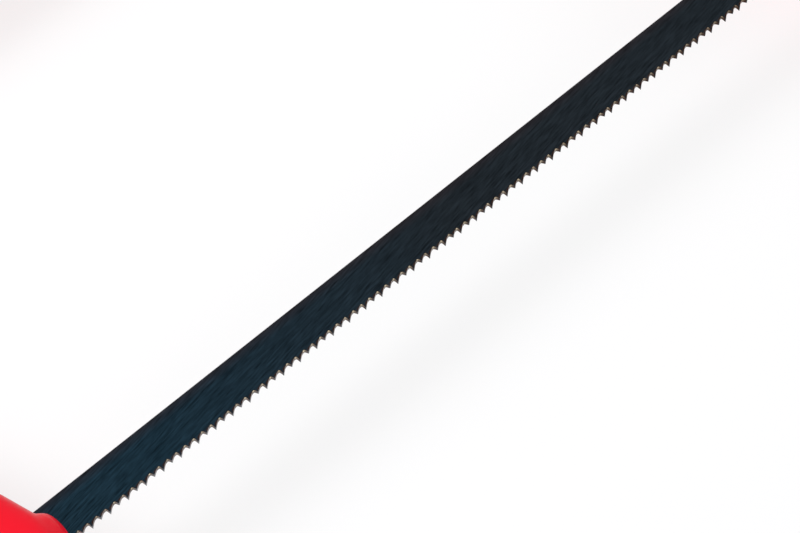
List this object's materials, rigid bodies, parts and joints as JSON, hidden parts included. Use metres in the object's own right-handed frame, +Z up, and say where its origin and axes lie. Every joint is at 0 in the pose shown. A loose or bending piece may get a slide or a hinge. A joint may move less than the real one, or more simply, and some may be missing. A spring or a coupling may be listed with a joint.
{
  "type": "insulated hacksaw",
  "caption": "Small insulated hacksaw with a red moulded bow, an in-line ribbed handle, a pinned fine-tooth blade and a lobed knob that draws the blade tight.",
  "frame": {"origin": "on the table, under the middle of the saw's bounding box", "axes": "+X along the blade away from the handle, +Y from the teeth towards the back bar, +Z up, with the saw lying on its side"},
  "size_m": [0.3156, 0.1066, 0.0262],
  "materials": {
    "red_plastic": "glossy moulded insulating plastic",
    "soft_red": "satin soft-touch elastomer",
    "blued_steel": "hardened strip with a dark blued skin and bright ground teeth",
    "bright_steel": "machined mild steel",
    "spring_steel": "drawn spring steel",
    "brass": "turned brass",
    "nylon": "natural nylon"
  },
  "bodies": {
    "frame": {"bow_core": "bright_steel", "bow_cover": "red_plastic", "front_anchor": "bright_steel", "guide_tube": "bright_steel", "return_spring": "spring_steel", "spring_seat": "brass", "rear_bush": "brass", "retaining_ring": "spring_steel", "thrust_washer": "nylon", "handle_body": "red_plastic", "grip_sleeve": "soft_red"},
    "tension_knob": {"tension_knob": "red_plastic", "knob_insert": "brass", "knob_cap": "red_plastic"},
    "draw_rod": {"draw_rod": "bright_steel", "blade": "blued_steel", "rear_blade_pin": "bright_steel", "front_blade_pin": "bright_steel"},
    "rear_cap": {"rear_blade_cap": "red_plastic"},
    "front_cap": {"front_blade_cap": "red_plastic"}
  },
  "joints": [
    {"name": "knob_turn", "type": "hinge", "parent": "frame", "child": "tension_knob", "pos_m": [-0.14557, -0.03735, 0.01312], "axis": [1, 0, 0], "range_deg": [-2160, 0]},
    {"name": "rod_slide", "type": "slide", "parent": "frame", "child": "draw_rod", "axis": [1, 0, 0], "range_m": [0, 0.0053], "deforming": ["return_spring"]},
    {"name": "rear_cap_pull", "type": "slide", "parent": "frame", "child": "rear_cap", "axis": [0, -0.9974, 0.0724], "range_m": [0, 0.01]},
    {"name": "front_cap_pull", "type": "slide", "parent": "frame", "child": "front_cap", "axis": [0, -0.9974, 0.0724], "range_m": [0, 0.01]}
  ],
  "couplings": [
    {"joint": "rod_slide", "follows": "knob_turn", "m_per_rad": -0.00012732}
  ]
}
